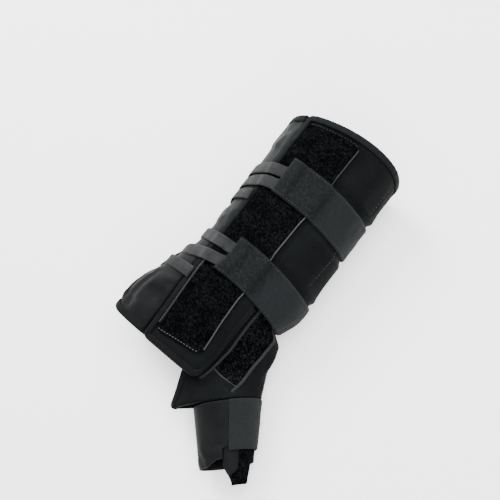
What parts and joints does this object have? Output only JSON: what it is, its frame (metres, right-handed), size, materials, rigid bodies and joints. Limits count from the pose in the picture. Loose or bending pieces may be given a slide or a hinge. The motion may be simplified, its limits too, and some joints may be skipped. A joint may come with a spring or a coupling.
{
  "type": "thumb spica splint",
  "caption": "Padded wrist and thumb splint for the right hand: an open sleeve drawn shut by laced pull straps, with a thumb gauntlet, a stay flap and a strap round the thumb.",
  "frame": {"origin": "middle of the flat palm-side face that the splint rests on, between the two wrist straps", "axes": "+X to the thumb side, +Y up the forearm along the sleeve, +Z out of the back of the wrist; the plane Z 0 is the one that it rests on"},
  "size_m": [0.1696, 0.2627, 0.0684],
  "materials": {
    "padded_laminate": "matt brushed nylon over foam",
    "binding_tape": "folded woven tape, faint sheen",
    "stretch_lining": "smooth knit with a grey sheen",
    "loop_pile": "rough unbroken loop pile",
    "strap_webbing": "soft woven loop strap",
    "lace_tape": "flat woven tape",
    "keeper_tab": "matt brushed nylon",
    "gauntlet_laminate": "matt brushed nylon over foam, with a pile zone",
    "stay_pile": "rough pile over a stay",
    "thumb_lining": "soft brushed knit",
    "thumb_webbing": "soft woven loop strap"
  },
  "bodies": {
    "root": {"sleeve_shell": "padded_laminate", "sleeve_binding": "binding_tape", "tongue": "stretch_lining", "back_pile_panel": "loop_pile", "upper_strap": "strap_webbing", "upper_lace_single": "lace_tape", "upper_lace_pulley": "lace_tape", "upper_keeper_single": "keeper_tab", "upper_keeper_pulley": "keeper_tab", "lower_strap": "strap_webbing", "lower_lace_single": "lace_tape", "lower_lace_pulley": "lace_tape", "lower_keeper_single": "keeper_tab", "lower_keeper_pulley": "keeper_tab", "thumb_gauntlet": "gauntlet_laminate", "thumb_stay_flap": "stay_pile", "thumb_sleeve": "thumb_lining", "thumb_strap": "thumb_webbing"}
  },
  "joints": []
}
